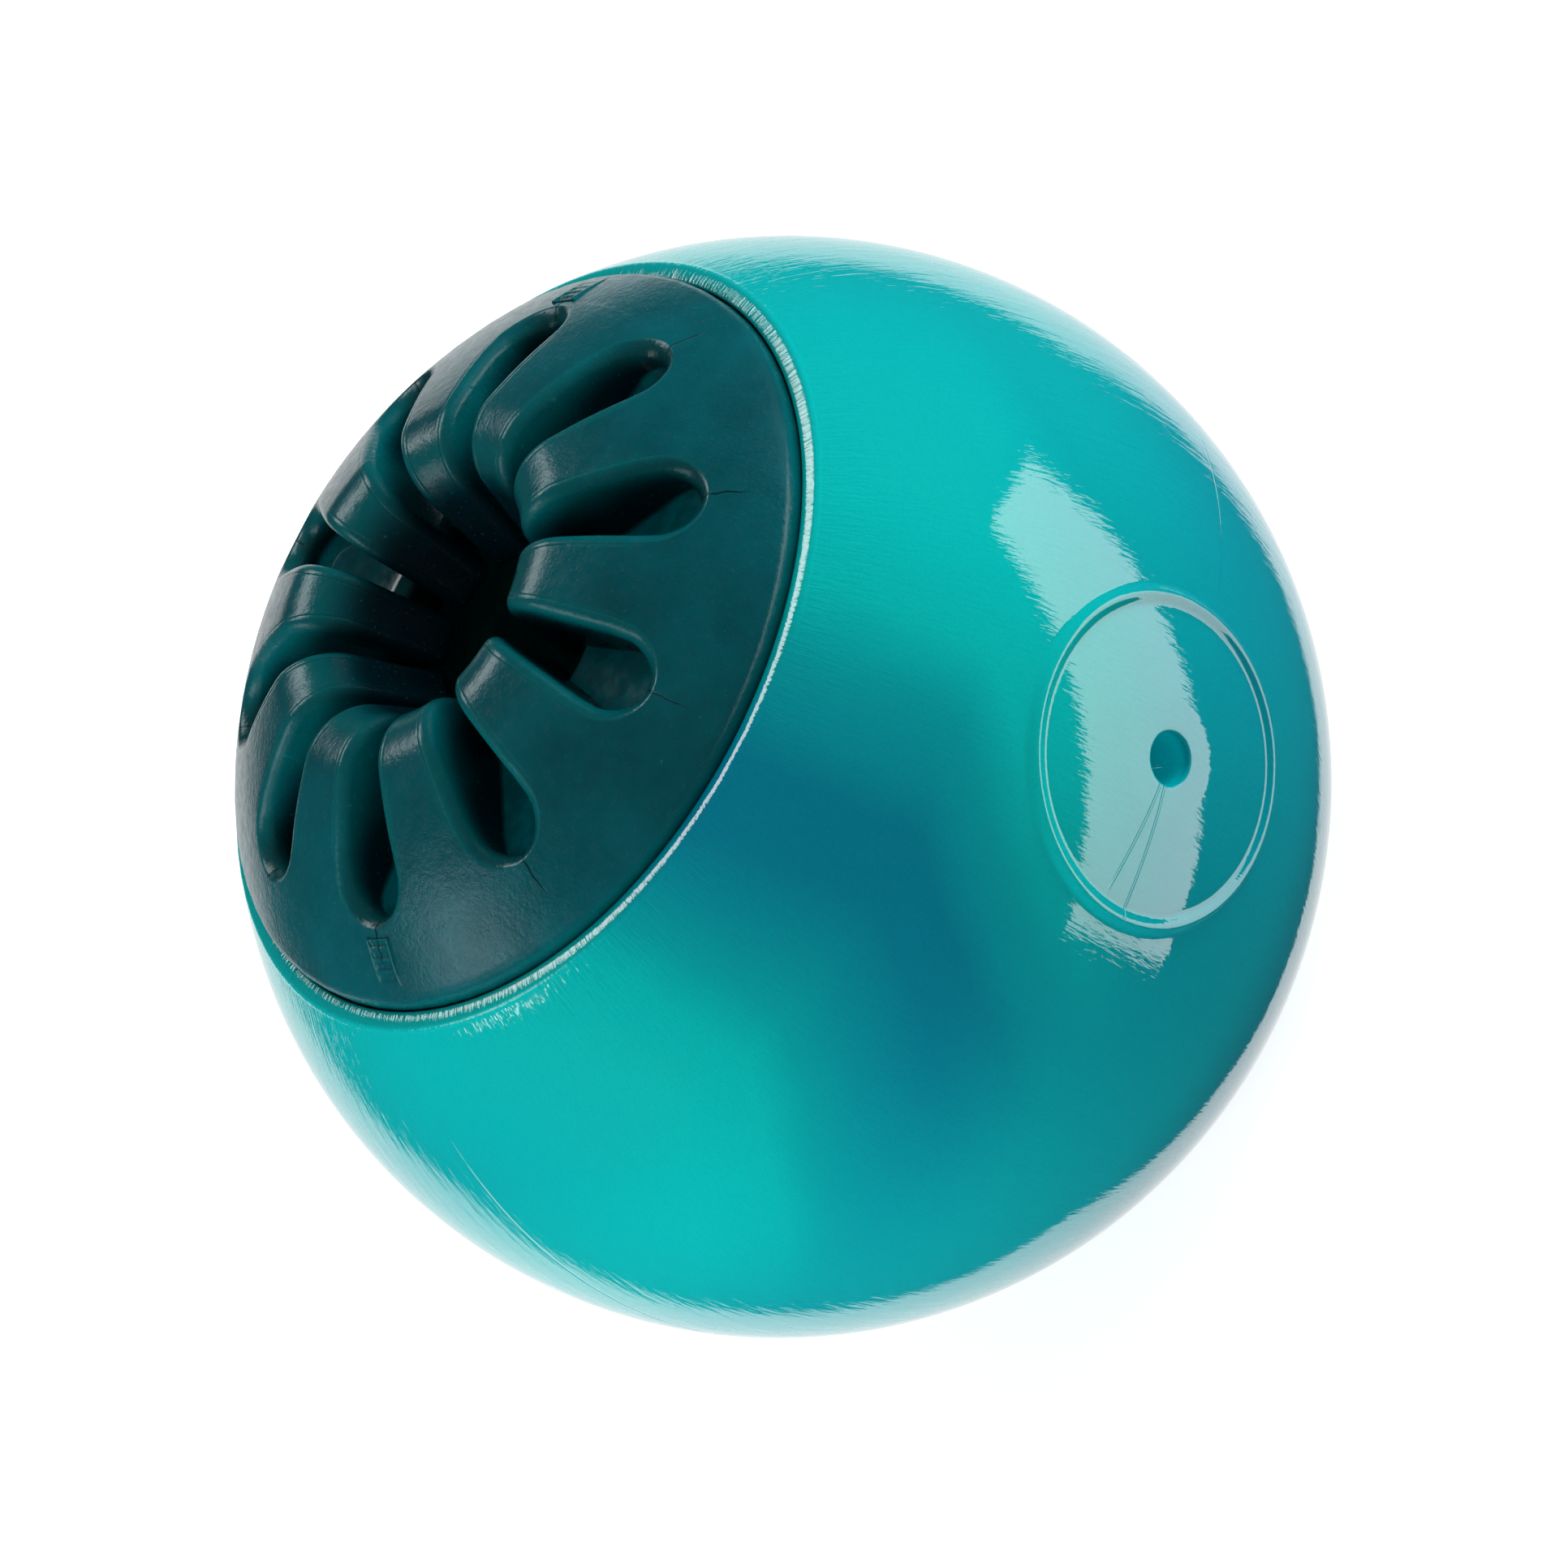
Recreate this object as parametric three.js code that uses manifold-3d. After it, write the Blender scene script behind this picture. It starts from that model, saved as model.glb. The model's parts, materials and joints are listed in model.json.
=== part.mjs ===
// Treat dispensing ball: a hollow rubber ball whose mouth holds a ribbed gate with flexing fingers.
// Millimetres, +Z up along the mouth's axis, origin in the middle of the flat patch that the ball rests on.
import * as THREE from 'three';
import { mergeVertices } from 'three/addons/utils/BufferGeometryUtils.js';
import Module from 'manifold-3d';

const wasm = await Module();
wasm.setup();

// Driving dimensions of the ball
const ballRadius = 45.2;
const ballHalfHeight = 44.5;
const shellWall = 5;
const restPatchRadius = 7;
const mouthLip = 0.9;
const snapBeadHeight = 0.8;
const snapBeadHalfWidth = 1.2;

// Driving dimensions of the vent and the raised ring round it
const ventRadius = 2.1;
const ventAzimuth = 288;
const ventRingRadius = 13;
const ventRingWidth = 1.8;
const ventRingHeight = 0.5;

// Driving dimensions of the gate
const collarRadius = 31.5;
const collarEdge = 0.6;
const skirtWall = 3.2;
const flangeWidth = 2.5;
const flangeThickness = 1.6;
const rimWidth = 4.6;
const slotDepth = 8.2;
const floorThickness = 3;
const throatRadius = 12.65;
const throatLip = 1.5;

// Driving dimensions of the ribs and their free fingers
const ribCount = 10;
const slotAngle = 20;
const ribEdge = 0.9;
const shoulderStart = 16.2;
const shoulderRadius = 5;
const tipLean = 20;
const tipDrop = 3;
const tipThickness = 3.2;
const tipEdge = 0.6;
const rootNotchFrom = 95;
const rootNotchAngle = 12;

// Clearance between the gate and the ball, and between each finger and its seat
const fitGap = 0.3;

// How finely round shapes are faceted
const turnSegments = 60;

const degrees = THREE.MathUtils.degToRad;
const point = (r, z) => new THREE.Vector2(r, z);

// Values worked out from the driving dimensions, with heights measured from the ball's centre
const cavityRadius = ballRadius - shellWall;
const cavityHalfHeight = ballHalfHeight - shellWall;
const mouthRadius = collarRadius + fitGap;
const skirtRadius = collarRadius - skirtWall;
const slotReach = collarRadius - rimWidth;
const ribAngle = 360 / ribCount - slotAngle;

const ovalHeight = (radius, halfHeight, r) => halfHeight * Math.sqrt(1 - (r / radius) ** 2);
const ballHeightAt = (r) => ovalHeight(ballRadius, ballHalfHeight, r);
const cavityHeightAt = (r) => ovalHeight(cavityRadius, cavityHalfHeight, r);
const flangeHeightAt = (r) => ovalHeight(cavityRadius - fitGap, cavityHalfHeight - fitGap, r);
const restHeight = ballHeightAt(restPatchRadius);

// Points along an arc of an oval round the ball's centre, between two radii, each above or below the equator
function ovalArc(radius, halfHeight, fromR, fromSide, toR, toSide, steps) {
  const start = fromSide * Math.acos(fromR / radius);
  const end = toSide * Math.acos(toR / radius);
  return Array.from({ length: steps + 1 }, (unused, i) => {
    const angle = start + (end - start) * i / steps;
    return point(radius * Math.cos(angle), halfHeight * Math.sin(angle));
  });
}

function onCircle(centre, radius, angle) {
  const turn = degrees(angle);
  return point(centre.x + radius * Math.cos(turn), centre.y + radius * Math.sin(turn));
}

function circleArc(centre, radius, from, to, steps) {
  return Array.from(
    { length: steps + 1 },
    (unused, i) => onCircle(centre, radius, from + (to - from) * i / steps),
  );
}

const roundedCorner = (from, corner, to) => new THREE.QuadraticBezierCurve(from, corner, to).getPoints(3);

// The rib crest leaves the ball's surface in a round shoulder, and turns down into the throat
const shoulderTop = point(shoulderStart, ballHeightAt(shoulderStart));
const shoulderNormal = point(
  shoulderTop.x / ballRadius ** 2,
  shoulderTop.y / ballHalfHeight ** 2,
).normalize();
const shoulderCentre = shoulderTop.clone().addScaledVector(shoulderNormal, -shoulderRadius);
const shoulderFrom = THREE.MathUtils.radToDeg(shoulderNormal.angle());
const shoulderTo = 180 - tipLean;

function crestHeightAt(r) {
  if (r >= shoulderStart) {
    return ballHeightAt(r);
  }
  const across = Math.min(r - shoulderCentre.x, shoulderRadius);
  return shoulderCentre.y + Math.sqrt(shoulderRadius ** 2 - Math.max(across, 0) ** 2);
}

const crestTop = shoulderCentre.y + shoulderRadius;
const floorHeight = crestTop - slotDepth;
const tipHeight = floorHeight - tipDrop;

// Each finger turns about the middle of its shoulder, on a knuckle that clears the floor
const hinge = shoulderCentre;
const knuckleRadius = hinge.y - floorHeight - fitGap;
const seatRadius = knuckleRadius + fitGap;

// A closed geometry as a body that can be cut and joined
function body(geometry) {
  const bare = geometry.clone();
  bare.deleteAttribute('normal');
  bare.deleteAttribute('uv');
  const merged = mergeVertices(bare, 1e-4);
  const corners = [];
  for (let i = 0; i < merged.index.count; i += 3) {
    const [a, b, c] = [0, 1, 2].map((k) => merged.index.getX(i + k));
    if (a !== b && b !== c && c !== a) {
      corners.push(a, b, c);
    }
  }
  return new wasm.Manifold(new wasm.Mesh({
    numProp: 3,
    vertProperties: Float32Array.from(merged.attributes.position.array),
    triVerts: Uint32Array.from(corners),
  }));
}

function geometryOf(solid) {
  const mesh = solid.getMesh();
  const geometry = new THREE.BufferGeometry();
  geometry.setAttribute('position', new THREE.BufferAttribute(mesh.vertProperties, 3));
  geometry.setIndex(new THREE.BufferAttribute(mesh.triVerts, 1));
  geometry.computeVertexNormals();
  return geometry;
}

// A profile turned about the vertical axis
const turned = (profile) => new THREE.LatheGeometry(profile, turnSegments).rotateX(Math.PI / 2);

// A skin over a row of matching closed outlines, capped at both ends
function lofted(outlines, flatten) {
  const count = outlines[0].length;
  const corners = [];
  for (let i = 0; i + 1 < outlines.length; i += 1) {
    for (let j = 0; j < count; j += 1) {
      const next = (j + 1) % count;
      const [a, b] = [i * count + j, i * count + next];
      corners.push(a, b, b + count, a, b + count, a + count);
    }
  }
  const last = (outlines.length - 1) * count;
  const capOf = (outline) => THREE.ShapeUtils.triangulateShape(outline.map(flatten), []);
  for (const [a, b, c] of capOf(outlines[0])) {
    corners.push(c, b, a);
  }
  for (const [a, b, c] of capOf(outlines.at(-1))) {
    corners.push(last + a, last + b, last + c);
  }
  const geometry = new THREE.BufferGeometry().setFromPoints(outlines.flat());
  geometry.setIndex(corners);
  return geometry;
}

const atAzimuth = (geometry, azimuth) => geometry.clone().rotateZ(degrees(azimuth));
const ribAzimuths = Array.from({ length: ribCount }, (unused, i) => i * 360 / ribCount);
const slotAzimuths = ribAzimuths.map((azimuth) => azimuth + 180 / ribCount);

// Ball: outer wall from the rest patch to the mouth, the bore with its snap bead, then the hollow
function ballGeometry() {
  const boreTop = ballHeightAt(mouthRadius);
  const boreFoot = cavityHeightAt(mouthRadius);
  const beadHeight = (boreTop + boreFoot) / 2;
  const lipRadius = mouthRadius + mouthLip;
  const profile = [
    point(0, -restHeight),
    ...ovalArc(ballRadius, ballHalfHeight, restPatchRadius, -1, lipRadius, 1, 16),
    ...roundedCorner(
      point(lipRadius, ballHeightAt(lipRadius)),
      point(mouthRadius, boreTop),
      point(mouthRadius, boreTop - mouthLip),
    ).slice(1),
    point(mouthRadius, beadHeight + snapBeadHalfWidth),
    point(mouthRadius - snapBeadHeight, beadHeight),
    point(mouthRadius, beadHeight - snapBeadHalfWidth),
    ...ovalArc(cavityRadius, cavityHalfHeight, mouthRadius, 1, 0, -1, 11),
  ];
  const ventTurn = degrees(ventAzimuth);
  const vent = new THREE.CylinderGeometry(ventRadius, ventRadius, 2 * shellWall, 20)
    .rotateZ(Math.PI / 2)
    .translate(ballRadius - shellWall / 2, 0, 0)
    .rotateZ(ventTurn);
  const ringTop = ovalHeight(ballHalfHeight, ballRadius, ventRingRadius) + ventRingHeight;
  const ring = new THREE.TorusGeometry(ventRingRadius, ventRingWidth / 2, 6, 40)
    .rotateY(Math.PI / 2)
    .translate(ringTop - ventRingWidth / 2, 0, 0)
    .rotateZ(ventTurn);
  return geometryOf(body(turned(profile)).add(body(ring)).subtract(body(vent)));
}

// Plan outline of one slot along +X, drawn in by an inset from its opening at the crest
function slotOutline(inset, heightAt) {
  const half = degrees(slotAngle / 2);
  const endCentre = slotReach / (1 + Math.sin(half));
  const endRadius = endCentre * Math.sin(half) - inset;
  const stations = [throatRadius - 2 * throatLip, shoulderCentre.x, shoulderStart];
  const side = stations.map((reach) => point(
    reach * Math.cos(half) - inset * Math.sin(half),
    inset * Math.cos(half) - reach * Math.sin(half),
  ));
  const end = circleArc(point(endCentre, 0), endRadius, slotAngle / 2 - 90, 90 - slotAngle / 2, 8);
  const mirrored = side.map((p) => point(p.x, -p.y)).reverse();
  const outline = [...side, ...end, ...mirrored];
  return outline.map((p) => new THREE.Vector3(p.x, p.y, heightAt(p.length())));
}

// The space of one slot, with a flared top that rounds the ribs' edges
function slotGeometry() {
  const roundings = [90, 60, 30, 0].map(degrees);
  const outlines = [
    slotOutline(ribEdge, () => floorHeight - floorThickness),
    ...roundings.map((turn) => slotOutline(
      ribEdge * Math.sin(turn),
      (r) => crestHeightAt(r) - ribEdge * (1 - Math.cos(turn)),
    )),
    slotOutline(0, () => crestTop + slotDepth),
  ];
  return lofted(outlines, (p) => point(p.x, p.y));
}

// The space round one finger along +X: a round seat, a notch across the crest, and all that lies inside them
function seatGeometry() {
  const halfWidth = hinge.x * Math.sin(Math.PI / ribCount);
  const above = onCircle(hinge, 2 * shoulderRadius, rootNotchFrom);
  const foot = floorHeight - floorThickness;
  const shape = new THREE.Shape([
    ...circleArc(hinge, seatRadius, 0, rootNotchFrom, 8),
    above,
    point(0, above.y),
    point(0, foot),
    point(hinge.x + seatRadius, foot),
  ]);
  return new THREE.ExtrudeGeometry(shape, { depth: 2 * halfWidth, bevelEnabled: false })
    .rotateX(Math.PI / 2)
    .translate(0, halfWidth, 0);
}

// The gate's ring of ribs with its rim, its groove for the snap bead, its skirt and its flange
function crownProfile() {
  const foot = floorHeight - floorThickness / 2;
  const grooveHeight = (ballHeightAt(mouthRadius) + cavityHeightAt(mouthRadius)) / 2;
  const flangeRadius = collarRadius + flangeWidth;
  const flangeFoot = flangeHeightAt(flangeRadius) - flangeThickness;
  const crestFrom = collarRadius - collarEdge;
  const profile = [
    point(hinge.x, foot),
    point(skirtRadius, foot),
    point(skirtRadius, flangeFoot),
    point(flangeRadius - flangeThickness / 2, flangeFoot),
    point(flangeRadius, flangeHeightAt(flangeRadius)),
    point(collarRadius + flangeWidth / 2, flangeHeightAt(collarRadius + flangeWidth / 2)),
    point(collarRadius, flangeHeightAt(collarRadius)),
    point(collarRadius, grooveHeight - snapBeadHalfWidth - fitGap),
    point(collarRadius - snapBeadHeight, grooveHeight),
    point(collarRadius, grooveHeight + snapBeadHalfWidth + fitGap),
    ...roundedCorner(
      point(collarRadius, ballHeightAt(collarRadius) - collarEdge),
      point(collarRadius, ballHeightAt(collarRadius)),
      point(crestFrom, ballHeightAt(crestFrom)),
    ),
    ...ovalArc(ballRadius, ballHalfHeight, crestFrom, 1, shoulderStart, 1, 6).slice(1),
    ...circleArc(hinge, shoulderRadius, shoulderFrom, rootNotchFrom + rootNotchAngle, 3).slice(1),
  ];
  return [...profile, profile[0]];
}

// The floor of the slots: a plate with a round-edged throat
function floorProfile() {
  const outer = skirtRadius + skirtWall / 2;
  const lipCentre = point(throatRadius + throatLip, floorHeight - throatLip);
  const profile = [
    point(throatRadius, floorHeight - floorThickness),
    point(outer, floorHeight - floorThickness),
    point(outer, floorHeight),
    ...circleArc(lipCentre, throatLip, 90, 180, 3),
  ];
  return [...profile, profile[0]];
}

function collarGeometry() {
  const slot = slotGeometry();
  const seat = seatGeometry();
  let crown = body(turned(crownProfile()));
  for (const azimuth of slotAzimuths) {
    crown = crown.subtract(body(atAzimuth(slot, azimuth)));
  }
  for (const azimuth of ribAzimuths) {
    crown = crown.subtract(body(atAzimuth(seat, azimuth)));
  }
  return geometryOf(crown.add(body(turned(floorProfile()))));
}

// Side view of one finger along +X: knuckle, crest, leaning tip face, foot and back.
// The crest and the tip face draw in towards the finger's sides, which rounds their edges.
function fingerOutline(turn) {
  const crestEdge = rootNotchFrom + rootNotchAngle;
  const knuckle = circleArc(hinge, knuckleRadius, -90, crestEdge, 9);
  const crest = circleArc(hinge, shoulderRadius, crestEdge, shoulderTo, 3);
  const faceTop = crest.at(-1);
  const lean = Math.tan(degrees(tipLean));
  const faceAt = (height) => faceTop.x - (faceTop.y - height) * lean;
  const thickness = tipThickness / Math.cos(degrees(tipLean));
  const tipFoot = tipHeight + tipEdge;
  const backTop = hinge.y - knuckleRadius / 2;
  const front = [...crest, point(faceAt(tipFoot), tipFoot)];
  const back = [
    point(faceAt(tipHeight) + tipEdge, tipHeight),
    point(faceAt(tipHeight) + thickness - tipEdge, tipHeight),
    point(faceAt(tipFoot) + thickness, tipFoot),
    point(faceAt(backTop) + thickness, backTop),
  ];
  const drawnIn = front.map((p) => {
    const inward = hinge.clone().sub(p).normalize();
    return p.clone().addScaledVector(inward, ribEdge * (1 - Math.cos(turn)));
  });
  const outline = [...knuckle, ...drawnIn, ...back];
  const halfWidth = (p) => p.x * Math.tan(degrees(ribAngle / 2)) + ribEdge * Math.sin(Math.abs(turn));
  return outline.map((p) => new THREE.Vector3(p.x, Math.sign(turn) * halfWidth(p), p.y));
}

function fingerGeometry() {
  const least = 0.01;
  const turns = [90, 60, 30, least, -least, -30, -60, -90].map(degrees);
  return geometryOf(body(lofted(turns.map(fingerOutline), (p) => point(p.x, p.z))));
}

// Assembly: everything is drawn about the ball's centre and lifted onto its rest patch
const clearTealRubber = { color: 0x1596a8, roughness: 0.22, metalness: 0 };
const darkTealRubber = { color: 0x05525c, roughness: 0.5, metalness: 0 };

function piece(name, geometry, finish) {
  const mesh = new THREE.Mesh(geometry, new THREE.MeshStandardMaterial(finish));
  mesh.name = name;
  return mesh;
}

const ball = new THREE.Group();
ball.position.z = restHeight;
ball.add(piece('ball_shell', ballGeometry(), clearTealRubber));
ball.add(piece('gate_collar', collarGeometry(), darkTealRubber));

const finger = fingerGeometry();
ribAzimuths.forEach((azimuth, i) => {
  const mesh = piece(`gate_finger_${String(i + 1).padStart(2, '0')}`, finger, darkTealRubber);
  mesh.rotation.z = degrees(azimuth);
  ball.add(mesh);
});

const part = new THREE.Group();
part.add(ball);

export default part;
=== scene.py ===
import json
import math

import bmesh
import bpy
import numpy as np
from mathutils import Matrix, Vector


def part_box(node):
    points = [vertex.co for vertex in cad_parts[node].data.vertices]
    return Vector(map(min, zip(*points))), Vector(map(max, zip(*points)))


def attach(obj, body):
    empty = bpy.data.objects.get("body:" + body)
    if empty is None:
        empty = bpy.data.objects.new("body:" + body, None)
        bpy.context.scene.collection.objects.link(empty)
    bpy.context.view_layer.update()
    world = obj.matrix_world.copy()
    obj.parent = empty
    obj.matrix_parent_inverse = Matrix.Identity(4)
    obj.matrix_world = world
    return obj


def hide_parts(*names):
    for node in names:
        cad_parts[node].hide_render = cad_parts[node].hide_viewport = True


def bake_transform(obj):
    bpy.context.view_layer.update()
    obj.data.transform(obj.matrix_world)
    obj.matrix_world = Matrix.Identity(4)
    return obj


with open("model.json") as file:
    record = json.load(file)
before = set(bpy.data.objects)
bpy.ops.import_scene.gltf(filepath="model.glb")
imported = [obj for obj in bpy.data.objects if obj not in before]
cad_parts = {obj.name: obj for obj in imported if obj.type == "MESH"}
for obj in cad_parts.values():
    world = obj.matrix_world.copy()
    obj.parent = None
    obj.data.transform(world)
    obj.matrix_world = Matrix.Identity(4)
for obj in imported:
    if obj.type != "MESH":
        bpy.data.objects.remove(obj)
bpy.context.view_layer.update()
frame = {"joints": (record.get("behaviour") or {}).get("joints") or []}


# The ball: a hollow moulding of glossy teal rubber with pearl pigment, painted in bands that are
# partly painted light and shade.
# It is open at the top, where a bead inside the mouth holds the gate, and a raised ring is moulded
# round the small air hole on its equator. It rests on a flat patch underneath.
mm = 0.001
ball_low, ball_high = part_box("ball_shell")
ball_radius = (ball_high.x - ball_low.x) / 2
ball_squash = 44.5 / 45.2
ball_wall = 5 * mm
ball_middle = 43.96 * mm
ball_spokes, outside_rows, inside_rows = 240, 130, 70
weld_distance = 0.002 * mm
sharp_turn = math.radians(42)
mouth_radius = 31.65 * mm
lip_bends = [(0.2, 180, 105), (1.1, 105, 84), (6.0, 84, 77), (0.7, 77, 30), (-0.7, 30, 42)]
lip_margin = 0.3 * mm
bead_height = 0.8 * mm
bead_half_width = 1.2 * mm
vent_turn = math.radians(288)
vent_radius = 2.1 * mm
vent_edge = 0.25 * mm
vent_patch = 16 * mm
vent_steps_mm = [(15.5, 14, -0.4), (14, 12, -0.15), (12, 2.4, -0.3)]
ring_radius = 13 * mm
ring_width = 1.8 * mm
ring_height = 0.5 * mm
seam_turn = math.radians(16)
seam_half_width, seam_floor = 0.26 * mm, 0.06 * mm
knit_lines = [(172, 1.8 * mm, 12.5 * mm), (183, 1.8 * mm, 15.5 * mm), (349, 15 * mm, 37 * mm)]
knit_half_width, knit_floor, knit_fade = 0.16 * mm, 0.05 * mm, 0.4 * mm
dimple_radius = 4.5 * mm
dimple_depth = 0.11 * mm
gloss_bump = 0.018 * mm


def ball_height(reach):
    """Height of the ball's surface at a distance from its upright axis."""
    return ball_middle + ball_squash * np.sqrt(ball_radius**2 - reach**2)


def ball_normal(reach):
    """Outward and upward share of the ball's surface normal at a distance from its upright axis."""
    rise = (ball_height(reach) - ball_middle) / ball_squash**2
    size = np.hypot(reach, rise)
    return reach / size, rise / size


def fan_between(axis_a, angle_a, axis_b, angle_b, spokes, rows):
    """Rows of directions that spread from the edge of one round hole in a sphere to another's."""
    lean = axis_a @ axis_b - math.cos(angle_a) * math.cos(angle_b)
    root = math.sqrt(lean**2 - (math.sin(angle_a) * math.sin(angle_b)) ** 2)

    def focus(sign):
        share = (sign * root - lean) / math.sin(angle_b) ** 2
        return (axis_a + share * axis_b) / (math.cos(angle_a) + share * math.cos(angle_b))

    source, target = focus(-1), focus(1)
    across = source - (source @ target) * target
    across /= np.linalg.norm(across)
    along = np.cross(target, across)

    def flat(direction):
        return complex(direction @ across, direction @ along) / (1 - direction @ target)

    def edge(axis, angle, toward):
        side = toward - (toward @ axis) * axis
        side /= np.linalg.norm(side)
        return abs(flat(math.cos(angle) * axis + math.sin(angle) * side) - flat(source))

    first, last = edge(axis_a, angle_a, axis_b), edge(axis_b, angle_b, axis_a)
    turns = np.exp(2j * np.pi * np.arange(spokes) / spokes)
    fan = []
    for row in range(rows + 1):
        spots = flat(source) + first * (last / first) ** (row / rows) * turns
        size = np.abs(spots) ** 2
        spread = np.outer(2 * spots.real, across) + np.outer(2 * spots.imag, along)
        fan.append((spread + np.outer(size - 1, target)) / (size + 1)[:, None])
    return fan


def bent_corner(start, corner, end, steps):
    """Points of a smooth bend from one point to another round a corner, without the last."""
    start, corner, end = np.array(start), np.array(corner), np.array(end)
    shares = np.arange(steps) / steps
    return [(1 - t) ** 2 * start + 2 * t * (1 - t) * corner + t**2 * end for t in shares]


def lip_points():
    """Side view of the mouth's lip: out of the bore, over a low bead and down to the ball.

    Each bend has a radius in mm and the slope of the surface's normal where it starts and ends.
    A bend with a radius below zero is hollow.
    """
    points = [(mouth_radius, 0.0)]
    for bend, first, last in lip_bends:
        start, radius = points[-1], bend * mm
        across, rise = math.cos(math.radians(first)), math.sin(math.radians(first))
        for turn in np.radians(np.linspace(first, last, 8)[1:]):
            reach = start[0] + radius * (math.cos(turn) - across)
            points.append((reach, start[1] + radius * (math.sin(turn) - rise)))
    lift = ball_height(points[-1][0]) - points[-1][1]
    return [(reach, height + lift) for reach, height in points]


def ball_rows():
    """Rings of points over the outside, into the air hole, over the inside and out of the mouth."""
    up = np.array([0.0, 0.0, 1.0])
    vent_axis = np.array([math.cos(vent_turn), math.sin(vent_turn), 0.0])
    lip = lip_points()
    lip_angle = math.asin((lip[-1][0] + lip_margin) / ball_radius)
    patch_angle = math.asin(vent_patch / ball_radius)
    outside = fan_between(up, lip_angle, vent_axis, patch_angle, ball_spokes, outside_rows)
    rows = [row * ball_radius for row in outside]

    away = outside[-1] - np.outer(outside[-1] @ vent_axis, vent_axis)
    away /= np.linalg.norm(away, axis=1)[:, None]
    for reach in mm * np.concatenate([np.arange(*steps) for steps in vent_steps_mm]):
        off_ring = np.clip((reach - ring_radius) / ring_width, -0.5, 0.5)
        swell = ring_height * np.cos(np.pi * off_ring) ** 2
        swell -= dimple_depth * np.clip(1 - (reach / dimple_radius) ** 2, 0, 1)
        on_ball = math.sqrt(ball_radius**2 - reach**2) * vent_axis + reach * away
        rows.append((1 + swell / ball_radius) * on_ball)
    for turn in np.radians(np.arange(0, 91, 15)):
        reach = vent_radius + vent_edge * (1 - math.sin(turn))
        depth = vent_edge * (1 - math.cos(turn))
        depth += dimple_depth * (1 - (reach / dimple_radius) ** 2)
        rows.append((math.sqrt(ball_radius**2 - reach**2) - depth) * vent_axis + reach * away)

    hollow = ball_radius - ball_wall
    bore_angle = math.asin(mouth_radius / hollow)
    vent_angle = math.asin(vent_radius / hollow)
    inside = fan_between(up, bore_angle, vent_axis, vent_angle, ball_spokes, inside_rows)
    rows += [row * hollow for row in reversed(inside)]
    rows = [row * (1, 1, ball_squash) + ball_middle * up for row in rows]

    brim = ball_height(mouth_radius)
    bead = (brim + ball_middle + ball_squash * math.sqrt(hollow**2 - mouth_radius**2)) / 2
    bore = []
    for turn in np.radians(np.arange(-90, 91, 22.5)):
        reach = mouth_radius - bead_height * math.cos(turn) ** 2
        bore.append((reach, bead + bead_half_width * turn / math.radians(90)))
    around = outside[0][:, :2] / np.linalg.norm(outside[0][:, :2], axis=1)[:, None]
    for reach, height in bore + lip:
        rows.append(np.column_stack([reach * around, np.full(ball_spokes, height)]))
    return rows


def finished_mesh(name, points, faces):
    """A smooth mesh with its seams closed, its faces turned outward and its sharp corners kept."""
    mesh = bpy.data.meshes.new(name)
    mesh.from_pydata([tuple(point) for point in points], [], faces)
    work = bmesh.new()
    work.from_mesh(mesh)
    bmesh.ops.remove_doubles(work, verts=work.verts, dist=weld_distance)
    bmesh.ops.recalc_face_normals(work, faces=work.faces)
    work.to_mesh(mesh)
    work.free()
    mesh.shade_smooth()
    mesh.set_sharp_from_angle(angle=sharp_turn)
    return mesh


def ball_mesh():
    rows = ball_rows()
    faces = []
    for row in range(len(rows)):
        here, below = row * ball_spokes, (row + 1) % len(rows) * ball_spokes
        for spoke in range(ball_spokes):
            after = (spoke + 1) % ball_spokes
            faces.append((here + spoke, here + after, below + after, below + spoke))
    points = np.concatenate(rows)
    points[:, 2] = np.maximum(points[:, 2], 0)
    return finished_mesh("ball_skin", points, faces)


def add_node(tree, kind, inputs=None, **settings):
    """A new node with its settings, its sockets set to plain values or linked to other sockets."""
    node = tree.nodes.new(kind)
    for name, value in settings.items():
        setattr(node, name, value)
    for name, value in (inputs or {}).items():
        if isinstance(value, bpy.types.NodeSocket):
            tree.links.new(value, node.inputs[name])
        else:
            node.inputs[name].default_value = value
    return node


def math_node(tree, operation, *values):
    node = add_node(tree, "ShaderNodeMath", dict(enumerate(values)), operation=operation)
    return node.outputs[0]


def vector_node(tree, operation, *values):
    node = add_node(tree, "ShaderNodeVectorMath", dict(enumerate(values)), operation=operation)
    return node.outputs["Value" if operation in ("DOT_PRODUCT", "LENGTH") else "Vector"]


def range_node(tree, value, low, high, to_low=0.0, to_high=1.0):
    inputs = {"Value": value, "From Min": low, "From Max": high}
    inputs |= {"To Min": to_low, "To Max": to_high}
    return add_node(tree, "ShaderNodeMapRange", inputs, interpolation_type="SMOOTHSTEP").outputs[0]


def noise_node(tree, place, scale, detail=2.0, roughness=0.5):
    inputs = {"Vector": place, "Scale": scale, "Detail": detail, "Roughness": roughness}
    return add_node(tree, "ShaderNodeTexNoise", inputs).outputs["Fac"]


def ramp_node(tree, value, stops):
    node = add_node(tree, "ShaderNodeValToRGB", {"Fac": value})
    colours = node.color_ramp.elements
    while len(colours) < len(stops):
        colours.new(0.5)
    for element, (position, colour) in zip(colours, stops):
        element.position = position
        element.color = (*colour, 1)
    return node.outputs["Color"]


def mix_node(tree, share, first, second, blend="MIX"):
    node = add_node(tree, "ShaderNodeMix", data_type="RGBA", blend_type=blend)
    for name, value in zip(("Factor_Float", "A_Color", "B_Color"), (share, first, second)):
        socket = next(socket for socket in node.inputs if socket.identifier == name)
        if isinstance(value, bpy.types.NodeSocket):
            tree.links.new(value, socket)
        else:
            socket.default_value = value
    return next(socket for socket in node.outputs if socket.identifier == "Result_Color")


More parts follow.
